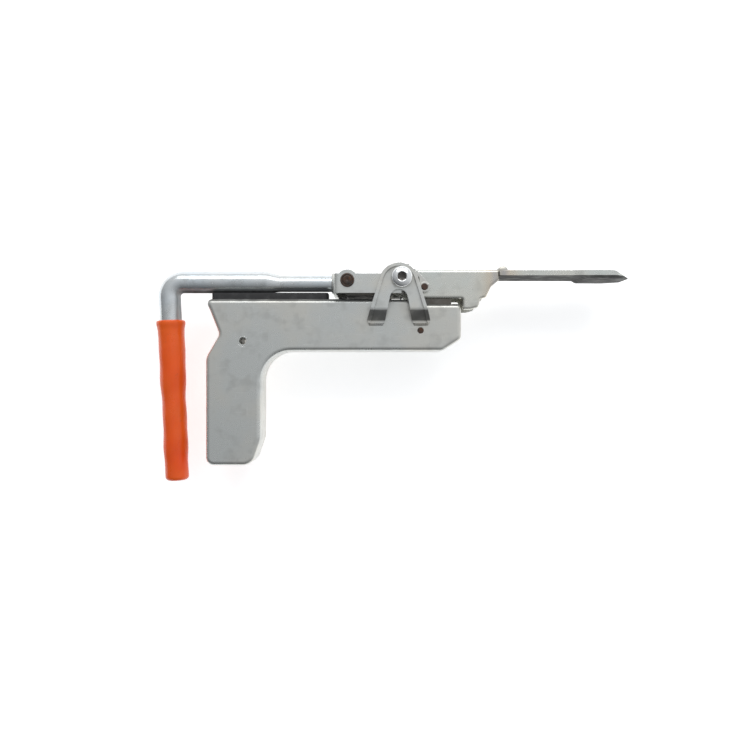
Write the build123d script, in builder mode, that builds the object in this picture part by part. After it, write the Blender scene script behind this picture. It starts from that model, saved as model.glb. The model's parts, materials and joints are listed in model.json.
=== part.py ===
from build123d import *
import math
import os

# Hand ratchet tensioner for woven and one-way lashing strap, lying on its side. Millimetres.
# The origin is on the windlass axis, midway between the two sides. +X points along the nose,
# +Y up from the hand grip to the lever, +Z along the windlass axis, to the tool's right side.

# Strap and the gaps between the layers, which stack outwards from the middle of the windlass
strap_width = 32.0
strap_play = 2.0
side_gap = 0.4
run_clearance = 0.05
nose_wall = 3.0
wheel_thickness = 4.0
cheek_thickness = 3.0
bracket_thickness = 3.0

# Windlass
drum_radius = 7.5
journal_radius = 6.0
bush_wall = 2.0
slot_width = 5.0
slot_play = 1.5
tooth_count = 12
wheel_radius = 15.0
tooth_depth = 3.2
tooth_gap_deg = 2.5
bite_depth = 2.8
key_size = 3.0
flange_thickness = 1.0
flange_step = 0.9
washer_thickness = 1.5
screw_head_radius = 9.3
screw_head_height = 5.6
screw_radius = 3.0
screw_length = 10.0
socket_across = 7.0
socket_depth = 3.5

# Pistol frame: two pressed halves that meet on the middle plane
frame_wall = 2.0
press_radius = 4.0
frame_top = -17.7
mouth_top = -22.0
frame_bottom = -64.5
frame_front = 54.0
chin_height = 11.0
chin_length = 17.0
step_x = 8.0
step_length = 4.0
grip_front = -125.8
grip_back = -175.5
grip_bottom = -167.3
tail_x = -177.0
waist_x = -163.5
waist_y = -49.3
web_radius = 27.0
tail_cut = 5.0
tail_depth = 10.0
shoulder_drop = 21.0
toe_length = 8.0
toe_height = 24.0
mouth_rear = -26.0
mouth_front = 46.0
release_notch_depth = 12.0
release_notch_play = 2.0

# Hanging hole through the back of the frame
hang_x = -142.0
hang_y = -55.5
hang_bore = 3.25
hang_wall = 1.5

# Side brackets that carry the windlass
hub_x = -2.5
hub_y = -4.5
bracket_lean = 17.0
bracket_knee = -27.8
bracket_foot_top = -37.2
foot_length = 2.5
bend_radius = 4.0
notch_top = -10.5
notch_radius = 8.0
notch_lean = 11.5
cut_past = 1.2
lip_width = 3.0
lip_height = 2.5
weld_leg = 2.4

# Nose channel and blade
eye_radius = 11.5
nose_top = 8.4
nose_bottom = -17.6
nose_end = 88.0
nose_lip = -0.8
web_start = 14.0
eye_back = -4.0
eye_low = -9.5
gusset = ((-7.5, -7.0, 5.0), (-12.0, -16.5, 3.0), (-17.0, -18.0, 2.0))
lug_back = 19.0
lug_chamfer = (7.0, 2.0)
lug_gap = 0.8
lug_bottom = -27.4
blade_thickness = 5.0
blade_drop = 0.5
blade_end = 190.0
blade_flare = 4.0
flare_start = 155.0
flare_ramp = 8.0
sole_drop = 2.0
sole_ramp = 3.0
tip_length = 15.0
tip_drop = 6.6
tip_thickness = 0.6
tip_inset = 10.0
bead_width = 9.0
bead_height = 3.4
bead_lap = 1.0
bead_margin = 1.5
weld_groove = 1.2

# Holding pawls and their shaft, with the release lever between them
hold_bearing = -20.68
hold_gap = 1.8
hold_shaft_radius = 3.0
hold_angle = 28.0
hold_boss = 5.0
release_half_width = 6.0
release_boss = 5.5
release_arm_height = 6.0
tab_x = 61.0
tab_thickness = 5.0
tab_bottom = -25.0
tab_half_width = 11.0
clip_thickness = 1.0
clip_radius = 4.4
shaft_end = 1.2
pawl_face = 3.3

# Nose anchors: plates inside the frame that tie it to the nose
anchor_thickness = 3.0
anchor_half_width = 9.0
anchor_rise = 7.0
anchor_waist = 6.0
anchor_relief = 1.0
rivet_x = 17.3
rivet_y = -46.1
rivet_radius = 2.8
rivet_head = 0.5

# Drive pawl, hung between the cheeks of the lever
drive_x = -48.0
drive_y = -2.0
drive_angle = hold_angle - 151.5
drive_park = 5.0
drive_pin_radius = 4.0
drive_knuckle = 6.5
drive_top = -9.8
drive_bottom = -15.1
drive_plate_end = -24.0
heel_x = -57.2
heel_thickness = 5.0
heel_gap = 1.5
knuckle_gap = 10.0
pin_head_radius = 6.2
pin_head_height = 2.2
pin_clip_radius = 5.8

# Lever
boss_radius = 9.5
yoke_web_x = -61.0
yoke_web = 3.0
yoke_top = 4.0
yoke_bottom = -13.5
bar_radius = 10.0
bar_drop = 0.8
neck_radius = 7.6
neck_drop = 2.0
neck_start = -110.0
neck_taper = 12.0
bend_x = -213.0
bar_bend = 13.0
leg_lean = 2.4
leg_end = -182.6
sleeve_top = -36.3
sleeve_wall = 1.6
sleeve_cap = 3.0
collar_length = 5.0
collar_extra = 1.5
rest_x = -119.0
rest_length = 106.0
rest_half_width = 9.0
rest_gap = 0.3

# Springs, drawn as the tube that their coils fill, with their straight ends
wire_radius = 0.7
coil_gap = 0.5

# The stack of layers, each from the middle plane outwards
nose_inner = (strap_width + strap_play) / 2
nose_outer = nose_inner + nose_wall
wheel_inner = nose_outer + side_gap
wheel_outer = wheel_inner + wheel_thickness
cheek_inner = wheel_outer + side_gap
cheek_outer = cheek_inner + cheek_thickness
bracket_inner = cheek_outer + side_gap
bracket_outer = bracket_inner + bracket_thickness
flange_outer = bracket_outer + flange_thickness
washer_inner = flange_outer + side_gap / 2
washer_outer = washer_inner + washer_thickness
frame_half = nose_inner + frame_wall
bush_radius = journal_radius + run_clearance + bush_wall
flange_radius = bush_radius + flange_step
hub_radius = flange_radius + side_gap / 2 + math.hypot(hub_x, hub_y) + lip_width
hold_reach = wheel_radius + hold_boss + hold_gap
pawl_bite = wheel_radius - bite_depth
sides = {"right": 1, "left": -1}

pieces = {}


def layer(inner, thickness, hand):
    """The plane on which a flat piece of one side starts, so that extruding it goes towards +Z."""
    if hand > 0:
        return Plane.XY.offset(inner)
    return Plane.XY.offset(-inner - thickness)


def polar(radius, degrees):
    """A point at this radius and angle about the windlass axis."""
    return (radius * math.cos(math.radians(degrees)), radius * math.sin(math.radians(degrees)))


hold_x, hold_y = polar(hold_reach, hold_bearing)


def turned(point, centre, degrees):
    """A point turned about a centre."""
    c, s = math.cos(math.radians(degrees)), math.sin(math.radians(degrees))
    dx, dy = point[0] - centre[0], point[1] - centre[1]
    return (centre[0] + c * dx - s * dy, centre[1] + s * dx + c * dy)


def outline(corners):
    """A closed outline from corners given as (x, y, radius), each rounded by its radius."""
    points = [(x, y) for x, y, _ in corners]
    FilletPolyline(*points, radius=[r for _, _, r in corners], close=True)


def keep(name, piece):
    """Labels a finished piece and lists it for writing."""
    piece.part.label = name
    pieces[name] = piece


# ---------------------------------------------------------------- frame shells

# The pistol outline, from the tip of the beavertail along the top and back up the hand grip
pistol = [
    (tail_x, frame_top, 4.4),
    (step_x, frame_top, 4.4),
    (step_x + step_length, mouth_top, 4.4),
    (frame_front, mouth_top, 4.4),
    (frame_front, frame_bottom + chin_height, 5.0),
    (frame_front - chin_length, frame_bottom, 8.0),
    (grip_front, frame_bottom, web_radius),
    (grip_front, grip_bottom + toe_height, 10.0),
    (grip_front - toe_length, grip_bottom, 12.0),
    (grip_back, grip_bottom, 7.0),
    (grip_back, waist_y - shoulder_drop, 14.0),
    (waist_x, waist_y, 6.0),
    (tail_x + tail_cut, frame_top - tail_depth, 8.0),
]

with BuildSketch() as pistol_face:
    with BuildLine():
        outline(pistol)
    make_face()

with BuildSketch() as pistol_inner:
    offset(pistol_face.sketch, amount=-frame_wall)

for side, hand in sides.items():
    with BuildPart() as cavity:
        add(pistol_inner.sketch)
        extrude(amount=frame_half - frame_wall)
        fillet(cavity.faces().sort_by(Axis.Z)[-1].edges(), radius=press_radius - frame_wall)

    with BuildPart() as shell_half:
        add(pistol_face.sketch)
        extrude(amount=frame_half)
        fillet(shell_half.faces().sort_by(Axis.Z)[-1].edges(), radius=press_radius)
        add(cavity.part, mode=Mode.SUBTRACT)
        # The mouth under the drum, where the strap roll and the nose anchors come through
        with BuildSketch(Plane.XY):
            with Locations(((mouth_rear + mouth_front) / 2, mouth_top)):
                Rectangle(mouth_front - mouth_rear, 4 * press_radius)
        extrude(amount=nose_inner, mode=Mode.SUBTRACT)
        # A notch in the front wall for the arm of the release lever
        with BuildSketch(Plane.XY):
            with Locations((frame_front, mouth_top)):
                Rectangle(4 * press_radius, 2 * release_notch_depth)
        extrude(amount=release_half_width + release_notch_play, mode=Mode.SUBTRACT)
        with BuildSketch(Plane.XY):
            with Locations((hang_x, hang_y)):
                Circle(hang_bore + hang_wall)
            with Locations((rivet_x, rivet_y)):
                Circle(rivet_radius)
        extrude(amount=frame_half, mode=Mode.SUBTRACT)

    with BuildPart() as frame_shell:
        if hand > 0:
            add(shell_half.part)
        else:
            mirror(shell_half.part, about=Plane.XY)
    keep(f"frame_shell_{side}", frame_shell)

with BuildPart() as hang_sleeve:
    with BuildSketch(Plane.XY):
        with Locations((hang_x, hang_y)):
            Circle(hang_bore + hang_wall)
            Circle(hang_bore, mode=Mode.SUBTRACT)
    extrude(amount=frame_half, both=True)
keep("hang_sleeve", hang_sleeve)

# A rubber strip along the top of the frame, which the closed lever rests on
with BuildPart() as lever_rest:
    with BuildSketch(Plane.XZ.offset(-frame_top)):
        with Locations((rest_x, 0)):
            RectangleRounded(rest_length, 2 * rest_half_width, 3)
    extrude(amount=frame_top + bar_drop + bar_radius + rest_gap)
keep("lever_rest", lever_rest)

# ---------------------------------------------------------------- nose anchors

for side, hand in sides.items():
    with BuildPart() as nose_anchor:
        with BuildSketch(layer(nose_inner - anchor_thickness, anchor_thickness, hand)):
            with BuildLine():
                outline(
                    [
                        (hold_x - anchor_half_width + anchor_relief, hold_y + anchor_rise, 4),
                        (mouth_front - anchor_relief, hold_y + anchor_rise, 6),
                        (mouth_front - anchor_relief, mouth_top - anchor_waist, 10),
                        (rivet_x + anchor_half_width, rivet_y - anchor_rise, 5),
                        (rivet_x - anchor_half_width, rivet_y - anchor_rise, 5),
                        (hold_x - anchor_half_width + anchor_relief, mouth_top - anchor_waist, 10),
                    ]
                )
            make_face()
            with Locations((hold_x, hold_y)):
                Circle(hold_shaft_radius + run_clearance, mode=Mode.SUBTRACT)
            with Locations((rivet_x, rivet_y)):
                Circle(rivet_radius, mode=Mode.SUBTRACT)
        extrude(amount=anchor_thickness)
    keep(f"nose_anchor_{side}", nose_anchor)

with BuildPart() as anchor_rivet:
    with BuildSketch(Plane.XY):
        with Locations((rivet_x, rivet_y)):
            Circle(rivet_radius)
    extrude(amount=frame_half + rivet_head, both=True)
    chamfer(anchor_rivet.edges().filter_by(GeomType.CIRCLE), length=rivet_head * 0.8)
keep("anchor_rivet", anchor_rivet)

# ---------------------------------------------------------------- side brackets

# Both outlines are a triangle on the hub's centre line with its top rounded, so a lean and a
# radius give the place of the point that the two sides would meet at
foot_end = bracket_foot_top - foot_length
hub_peak = hub_y + hub_radius / math.sin(math.radians(bracket_lean))
foot_half = (hub_peak - foot_end) * math.tan(math.radians(bracket_lean))
notch_peak = notch_top - notch_radius + notch_radius / math.sin(math.radians(notch_lean))
notch_half = (notch_peak - foot_end) * math.tan(math.radians(notch_lean))
notch_foot = notch_peak - (notch_peak - foot_end) * cut_past

with BuildSketch() as bracket_face:
    with BuildLine():
        outline(
            [
                (hub_x, hub_peak, hub_radius),
                (hub_x + foot_half, foot_end, 2),
                (hub_x - foot_half, foot_end, 2),
            ]
        )
    make_face()
    with BuildLine():
        outline(
            [
                (hub_x, notch_peak, notch_radius),
                (hub_x + notch_half * cut_past, notch_foot, 1),
                (hub_x - notch_half * cut_past, notch_foot, 1),
            ]
        )
    make_face(mode=Mode.SUBTRACT)
    Circle(bush_radius, mode=Mode.SUBTRACT)

with BuildSketch() as lip_face:
    with BuildLine():
        outline(
            [
                (hub_x, hub_peak, hub_radius),
                (hub_x + foot_half, foot_end, 2),
                (hub_x - foot_half, foot_end, 2),
            ]
        )
    make_face()
    with BuildLine():
        lip_shift = lip_width / math.sin(math.radians(bracket_lean))
        low = foot_end - 10
        low_half = (hub_peak - lip_shift - low) * math.tan(math.radians(bracket_lean))
        outline(
            [
                (hub_x, hub_peak - lip_shift, hub_radius - lip_width),
                (hub_x + low_half, low, 1),
                (hub_x - low_half, low, 1),
            ]
        )
    make_face(mode=Mode.SUBTRACT)


def bent_strip(inner, thickness):
    """A side sheet seen from the front: upright, ramped in to the frame, then flat on it."""
    middle = inner + thickness / 2
    on_frame = middle - bracket_inner + frame_half
    with BuildPart() as strip:
        with BuildSketch(Plane.YZ):
            with BuildLine() as path:
                FilletPolyline(
                    (hub_y + hub_radius + 2, middle),
                    (bracket_knee, middle),
                    (bracket_foot_top, on_frame),
                    (foot_end - 1, on_frame),
                    radius=bend_radius,
                )
            trace(path.line, line_width=thickness)
        extrude(amount=foot_half + 10, both=True)
    return strip


plate_strip = bent_strip(bracket_inner, bracket_thickness)
lip_strip = bent_strip(bracket_outer, lip_height)

with BuildPart() as bracket_plate:
    add(plate_strip.part)
    add(bracket_face.sketch)
    extrude(amount=2 * bracket_outer, mode=Mode.INTERSECT)

with BuildPart() as bracket_lip:
    add(lip_strip.part)
    add(lip_face.sketch)
    extrude(amount=2 * bracket_outer, mode=Mode.INTERSECT)

for side, hand in sides.items():
    with BuildPart() as bracket:
        if hand > 0:
            add(bracket_plate.part)
            add(bracket_lip.part)
        else:
            mirror(bracket_plate.part, about=Plane.XY)
            mirror(bracket_lip.part, about=Plane.XY)
    keep(f"bracket_{side}", bracket)

# A fillet weld under each of the four feet
foot_middle = (foot_half + notch_half) / 2
foot_width = foot_half - notch_half - 4
with BuildPart() as bracket_welds:
    for hand in sides.values():
        for x in (hub_x - foot_middle, hub_x + foot_middle):
            with BuildSketch(Plane.YZ.offset(x - foot_width / 2)):
                with BuildLine():
                    Polyline(
                        (foot_end, hand * frame_half),
                        (foot_end, hand * (frame_half + weld_leg * 0.8)),
                        (foot_end - weld_leg, hand * frame_half),
                        close=True,
                    )
                make_face()
            extrude(amount=foot_width)
keep("bracket_welds", bracket_welds)

# ---------------------------------------------------------------- nose

# One wall of the nose: along the top, down the gusset and lug, then back under to the eye
nose_outline = [
    (0, nose_top, 1),
    (nose_end, nose_top, 1),
    (nose_end, nose_lip, 1.5),
    *((nose_end + back, height, radius) for back, height, radius in gusset),
    (nose_end - lug_back, lug_bottom + lug_chamfer[1], 3),
    (nose_end - lug_back - lug_chamfer[0], lug_bottom, 3),
    (frame_front + lug_gap, lug_bottom, 1.5),
    (frame_front + lug_gap, nose_bottom, 1.5),
    (web_start, nose_bottom, 6),
    (eye_back, eye_low, 1),
]

with BuildPart() as nose_channel:
    with BuildSketch(Plane.XY):
        with BuildLine():
            outline(nose_outline)
        make_face()
        Circle(eye_radius)
        Circle(drum_radius + run_clearance, mode=Mode.SUBTRACT)
        with Locations((hold_x, hold_y)):
            Circle(hold_shaft_radius + run_clearance, mode=Mode.SUBTRACT)
    extrude(amount=nose_outer, both=True)
    # The outer edges of the folded web are rounded, as bent sheet is
    fillet(
        nose_channel.edges()
        .filter_by(Axis.X)
        .filter_by_position(Axis.Y, nose_top - 0.01, nose_top + 0.01),
        radius=nose_wall * 0.9,
    )
    # The inside, under the web, and open to the top round the drum
    with BuildSketch(Plane.XY):
        with Locations((web_start, lug_bottom - 10)):
            Rectangle(
                nose_end,
                nose_top - nose_wall - lug_bottom + 10,
                align=(Align.MIN, Align.MIN),
            )
        with Locations((web_start, 0)):
            Rectangle(60, 100, align=(Align.MAX, Align.CENTER))
    extrude(amount=nose_inner, both=True, mode=Mode.SUBTRACT)
keep("nose_channel", nose_channel)

blade_top = nose_top - blade_drop
blade_bottom = blade_top - blade_thickness
bead_start = nose_end - bead_lap
bead_end = bead_start + bead_width
blade_tip = blade_end + tip_length
tip_half = nose_outer + blade_flare / 2 - tip_inset
with BuildPart() as nose_blade:
    with BuildSketch(Plane.XY):
        with BuildLine():
            outline(
                [
                    (nose_end, blade_top - weld_groove, 0.3),
                    (bead_end, blade_top, 0.3),
                    (blade_end, blade_top, 14),
                    (blade_tip, blade_top - tip_drop, 0.3),
                    (blade_tip, blade_top - tip_drop - tip_thickness, 0.2),
                    (flare_start + flare_ramp + sole_ramp, blade_bottom - sole_drop, 4),
                    (flare_start + flare_ramp, blade_bottom, 4),
                    (nose_end, blade_bottom, 0.3),
                ]
            )
        make_face()
    extrude(amount=nose_outer + blade_flare, both=True)
    with BuildSketch(Plane.XZ):
        with BuildLine():
            outline(
                [
                    (nose_end - 1, nose_outer, 0.4),
                    (flare_start, nose_outer, 10),
                    (flare_start + flare_ramp, nose_outer + blade_flare / 2, 6),
                    (blade_end + 2, nose_outer + blade_flare / 2, 8),
                    (blade_tip + 1, tip_half, 3),
                    (blade_tip + 1, -tip_half, 3),
                    (blade_end + 2, -nose_outer - blade_flare / 2, 8),
                    (flare_start + flare_ramp, -nose_outer - blade_flare / 2, 6),
                    (flare_start, -nose_outer, 10),
                    (nose_end - 1, -nose_outer, 0.4),
                ]
            )
        make_face()
    extrude(amount=4 * hub_radius, both=True, mode=Mode.INTERSECT)
keep("nose_blade", nose_blade)

# The weld that joins the blade to the end of the nose, in a groove and proud of the top
with BuildPart() as nose_weld:
    with BuildSketch(Plane.XY):
        with BuildLine():
            Polyline(
                (bead_start, nose_top),
                (nose_end, nose_top),
                (nose_end, blade_top - weld_groove),
                (bead_end, blade_top),
            )
            ThreePointArc(
                (bead_end, blade_top),
                (bead_start + bead_width / 2, nose_top + bead_height),
                (bead_start, nose_top),
            )
        make_face()
    extrude(amount=nose_outer - bead_margin, both=True)
keep("nose_weld", nose_weld)

# ---------------------------------------------------------------- windlass

slot_length = strap_width + slot_play
with BuildPart() as windlass_shaft:
    with BuildSketch(Plane.XY):
        Circle(drum_radius)
    extrude(amount=wheel_outer + side_gap / 4, both=True)
    with BuildSketch(Plane.XY):
        Circle(journal_radius)
    extrude(amount=washer_outer, both=True)
    # The slot that the strap is threaded through
    Box(slot_width, 4 * drum_radius, slot_length, mode=Mode.SUBTRACT)
    # A keyway for each ratchet wheel and a threaded hole in each end
    for hand in sides.values():
        with BuildSketch(layer(wheel_inner, wheel_thickness, hand)):
            with Locations((drum_radius, 0)):
                Rectangle(key_size, key_size)
        extrude(amount=wheel_thickness, mode=Mode.SUBTRACT)
        with BuildSketch(layer(washer_outer - screw_length, screw_length, hand)):
            Circle(screw_radius)
        extrude(amount=screw_length, mode=Mode.SUBTRACT)
keep("windlass_shaft", windlass_shaft)

with BuildPart() as wheel_keys:
    for hand in sides.values():
        with BuildSketch(layer(wheel_inner, wheel_thickness, hand)):
            with Locations((drum_radius, 0)):
                Rectangle(key_size, key_size)
        extrude(amount=wheel_thickness)
keep("wheel_keys", wheel_keys)

# Each tooth has a radial face that the pawls bear on and a ramp down to the next tooth's root
pitch = 360 / tooth_count
tooth_start = hold_angle + tooth_gap_deg
root_radius = wheel_radius - tooth_depth
for side, hand in sides.items():
    with BuildPart() as ratchet_wheel:
        with BuildSketch(layer(wheel_inner, wheel_thickness, hand)):
            with BuildLine():
                points = []
                for tooth in range(tooth_count):
                    face = tooth_start + tooth * pitch
                    points.append(polar(root_radius, face))
                    points.append(polar(wheel_radius, face))
                Polyline(*points, close=True)
            make_face()
            Circle(drum_radius, mode=Mode.SUBTRACT)
            with Locations((drum_radius, 0)):
                Rectangle(key_size, key_size, mode=Mode.SUBTRACT)
        extrude(amount=wheel_thickness)
    keep(f"ratchet_wheel_{side}", ratchet_wheel)

    with BuildPart() as windlass_bush:
        with BuildSketch(layer(bracket_inner, bracket_thickness, hand)):
            Circle(bush_radius)
            Circle(journal_radius + run_clearance, mode=Mode.SUBTRACT)
        extrude(amount=bracket_thickness)
        with BuildSketch(layer(bracket_outer, flange_thickness, hand)):
            Circle(flange_radius)
            Circle(journal_radius + run_clearance, mode=Mode.SUBTRACT)
        extrude(amount=flange_thickness)
    keep(f"windlass_bush_{side}", windlass_bush)

    with BuildPart() as hub_washer:
        with BuildSketch(layer(washer_inner, washer_thickness, hand)):
            Circle(flange_radius)
            Circle(journal_radius, mode=Mode.SUBTRACT)
        extrude(amount=washer_thickness)
    keep(f"hub_washer_{side}", hub_washer)

    # A button-head screw: a dome on a short cylinder, with a hex socket and a shank
    with BuildPart() as screw_half:
        with BuildSketch(Plane.XZ):
            with BuildLine():
                rim = washer_outer + screw_head_height * 0.3
                crown = washer_outer + screw_head_height
                Polyline(
                    (0, crown),
                    (0, washer_outer - screw_length),
                    (screw_radius, washer_outer - screw_length),
                    (screw_radius, washer_outer),
                    (screw_head_radius, washer_outer),
                    (screw_head_radius, rim),
                )
                ThreePointArc(
                    (screw_head_radius, rim),
                    (screw_head_radius * 0.74, rim + screw_head_height * 0.47),
                    (0, crown),
                )
            make_face()
        revolve(axis=Axis.Z)
        with BuildSketch(Plane.XY.offset(crown - socket_depth)):
            RegularPolygon(socket_across / 2, 6, major_radius=False)
        extrude(amount=socket_depth + 1, mode=Mode.SUBTRACT)
    with BuildPart() as hub_screw:
        if hand > 0:
            add(screw_half.part)
        else:
            mirror(screw_half.part, about=Plane.XY)
    keep(f"hub_screw_{side}", hub_screw)

# ---------------------------------------------------------------- holding pawls

hold = (hold_x, hold_y)
clip_outer = wheel_outer + side_gap + clip_thickness
with BuildPart() as holding_pawl_shaft:
    with BuildSketch(Plane.XY):
        with Locations(hold):
            Circle(hold_shaft_radius)
    extrude(amount=clip_outer + shaft_end, both=True)
    chamfer(holding_pawl_shaft.edges().filter_by(GeomType.CIRCLE), length=0.5)
keep("holding_pawl_shaft", holding_pawl_shaft)

with BuildPart() as shaft_clips:
    for hand in sides.values():
        with BuildSketch(layer(wheel_outer + side_gap, clip_thickness, hand)):
            with Locations(hold):
                Circle(clip_radius)
                Circle(hold_shaft_radius, mode=Mode.SUBTRACT)
        extrude(amount=clip_thickness)
keep("shaft_clips", shaft_clips)

# The nose of the pawl lies in a tooth space, and its inner edge runs beside the tooth's ramp
bite_inner = polar(pawl_bite, hold_angle)
bite_outer = polar(pawl_bite + pawl_face, hold_angle)
next_tip = polar(wheel_radius + 1.0, tooth_start - pitch + 1)
for side, hand in sides.items():
    with BuildPart() as holding_pawl:
        with BuildSketch(layer(wheel_inner, wheel_thickness, hand)):
            with Locations(hold):
                Circle(hold_boss)
            with BuildLine():
                Polyline(
                    bite_inner,
                    bite_outer,
                    (hold_x + hold_boss * 0.8, hold_y + hold_boss * 0.6),
                    hold,
                    (hold_x - hold_boss * 0.9, hold_y + hold_boss * 0.43),
                    next_tip,
                    close=True,
                )
            make_face()
            with Locations(hold):
                Circle(hold_shaft_radius, mode=Mode.SUBTRACT)
        extrude(amount=wheel_thickness)
    keep(f"holding_pawl_{side}", holding_pawl)

# A hub and arm between the nose walls, with a broad thumb tab under the front of the nose
arm_middle = hold_y + 0.5
with BuildPart() as release_lever:
    with BuildSketch(Plane.XY):
        with Locations(hold):
            Circle(release_boss)
        with Locations((hold_x, arm_middle)):
            Rectangle(
                tab_x + tab_thickness - hold_x,
                release_arm_height,
                align=(Align.MIN, Align.CENTER),
            )
        with Locations(hold):
            Circle(hold_shaft_radius, mode=Mode.SUBTRACT)
    extrude(amount=release_half_width, both=True)
    with BuildSketch(Plane.XY):
        with Locations((tab_x, tab_bottom)):
            Rectangle(
                tab_thickness,
                arm_middle + release_arm_height / 2 - tab_bottom,
                align=(Align.MIN, Align.MIN),
            )
    extrude(amount=tab_half_width, both=True)
    fillet(
        release_lever.edges()
        .filter_by(Axis.X)
        .filter_by_position(Axis.Y, tab_bottom - 0.01, tab_bottom + 0.01),
        radius=4,
    )
keep("release_lever", release_lever)

coil_inner = hold_shaft_radius + coil_gap
spring_length = nose_inner - anchor_thickness - release_half_width - 2 * coil_gap
with BuildPart() as holding_pawl_spring:
    with BuildSketch(Plane.XY.offset(release_half_width + coil_gap)):
        with Locations(hold):
            Circle(coil_inner + 2 * wire_radius)
            Circle(coil_inner, mode=Mode.SUBTRACT)
    extrude(amount=spring_length)
    # One end reaches forward over the arm, the other bears on the web of the nose
    arm_end = Plane(
        origin=(
            hold_x + coil_inner + wire_radius,
            hold_y,
            release_half_width + coil_gap + wire_radius,
        ),
        z_dir=(0, 1, 0),
    )
    with BuildSketch(arm_end):
        Circle(wire_radius)
    extrude(amount=nose_top - nose_wall - hold_y - 0.2)
keep("holding_pawl_spring", holding_pawl_spring)

# ---------------------------------------------------------------- drive pawl

drive = (drive_x, drive_y)
tip_inner = turned(polar(pawl_bite, drive_angle), drive, -drive_park)
tip_outer = turned(polar(pawl_bite + pawl_face, drive_angle), drive, -drive_park)
finger_start = drive_plate_end - 1
with BuildPart() as drive_pawl:
    # Plate, knuckle and heel across the whole width between the cheeks
    with BuildSketch(Plane.XY):
        with Locations(drive):
            Circle(drive_knuckle)
        with BuildLine():
            outline(
                [
                    (drive_x + 2, drive_y, 1),
                    (drive_x + 4, drive_top, 3),
                    (drive_plate_end, drive_top, 1),
                    (drive_plate_end, drive_bottom, 1),
                    (drive_x - 2, drive_bottom, 4),
                    (drive_x - 5, drive_y - 2, 1),
                ]
            )
        make_face()
        with Locations(drive):
            Circle(drive_pin_radius + run_clearance, mode=Mode.SUBTRACT)
    extrude(amount=wheel_outer, both=True)
    # Room between the two knuckles for the coils of the spring
    with BuildSketch(Plane.XY):
        with Locations((drive_x - drive_knuckle, drive_y)):
            Rectangle(
                2 * drive_knuckle + 2,
                2 * drive_knuckle + 1,
                align=(Align.MIN, Align.CENTER),
            )
    extrude(amount=knuckle_gap, both=True, mode=Mode.SUBTRACT)
    # The heel that meets the frame if the pawl swings in too far while the lever is closed
    with BuildSketch(Plane.XY):
        with BuildLine():
            outline(
                [
                    (drive_x - 1, drive_y - drive_knuckle, 1),
                    (drive_x - 1, drive_bottom, 1),
                    (heel_x, frame_top + heel_gap, 1),
                    (heel_x, frame_top + heel_gap + heel_thickness, 1.5),
                    (drive_x - 4, drive_bottom + 4.5, 1),
                ]
            )
        make_face()
    extrude(amount=knuckle_gap, both=True)
    # A finger on each side reaches under its wheel
    for hand in sides.values():
        with BuildSketch(layer(wheel_inner, wheel_thickness, hand)):
            with BuildLine():
                Polyline(
                    (finger_start, drive_top),
                    tip_inner,
                    tip_outer,
                    (finger_start, drive_bottom),
                    close=True,
                )
            make_face()
        extrude(amount=wheel_thickness)
keep("drive_pawl", drive_pawl)

with BuildPart() as drive_pawl_pin:
    with BuildSketch(layer(cheek_outer, pin_head_height, -1)):
        with Locations(drive):
            Circle(drive_pin_radius)
    extrude(amount=2 * cheek_outer + pin_head_height)
    with BuildSketch(layer(cheek_outer, pin_head_height, 1)):
        with Locations(drive):
            Circle(pin_head_radius)
    extrude(amount=pin_head_height)
    chamfer(drive_pawl_pin.faces().sort_by(Axis.Z)[-1].edges(), length=0.7)
keep("drive_pawl_pin", drive_pawl_pin)

with BuildPart() as drive_pin_clip:
    with BuildSketch(layer(cheek_outer, clip_thickness, -1)):
        with Locations(drive):
            Circle(pin_clip_radius)
            Circle(drive_pin_radius, mode=Mode.SUBTRACT)
    extrude(amount=clip_thickness)
keep("drive_pin_clip", drive_pin_clip)

drive_coil_inner = drive_pin_radius + coil_gap
with BuildPart() as drive_pawl_spring:
    with BuildSketch(Plane.XY):
        with Locations(drive):
            Circle(drive_coil_inner + 2 * wire_radius)
            Circle(drive_coil_inner, mode=Mode.SUBTRACT)
    extrude(amount=knuckle_gap - coil_gap, both=True)
    # The end that bears on the web of the yoke
    web_end = Plane(
        origin=(
            drive_x,
            drive_y + drive_coil_inner + wire_radius,
            knuckle_gap - coil_gap - wire_radius,
        ),
        z_dir=(-1, 0, 0),
    )
    with BuildSketch(web_end):
        Circle(wire_radius)
    extrude(amount=drive_x - yoke_web_x - yoke_web - 0.2)
keep("drive_pawl_spring", drive_pawl_spring)

# ---------------------------------------------------------------- lever

# The room between the cheeks, with the inside of the two bends
with BuildPart() as yoke_room:
    with BuildSketch(Plane.XY):
        with Locations((yoke_web_x + yoke_web, 0)):
            Rectangle(4 * boss_radius - yoke_web_x, 4 * boss_radius, align=(Align.MIN, Align.CENTER))
    extrude(amount=cheek_inner, both=True)
    fillet(yoke_room.edges().filter_by(Axis.Y).sort_by(Axis.X)[0:2], radius=2)

with BuildPart() as lever_yoke:
    with BuildSketch(Plane.XY):
        Circle(eye_radius)
        with Locations(drive):
            Circle(boss_radius)
        with Locations((yoke_web_x, (yoke_top + yoke_bottom) / 2)):
            Rectangle(-yoke_web_x, yoke_top - yoke_bottom, align=(Align.MIN, Align.CENTER))
        Circle(bush_radius, mode=Mode.SUBTRACT)
        with Locations(drive):
            Circle(drive_pin_radius, mode=Mode.SUBTRACT)
    extrude(amount=cheek_outer, both=True)
    # The two bends between the web and the cheeks
    fillet(
        lever_yoke.edges().filter_by(Axis.Y).sort_by(Axis.X)[0:2],
        radius=cheek_thickness + 2,
    )
    add(yoke_room.part, mode=Mode.SUBTRACT)
keep("lever_yoke", lever_yoke)

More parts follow.
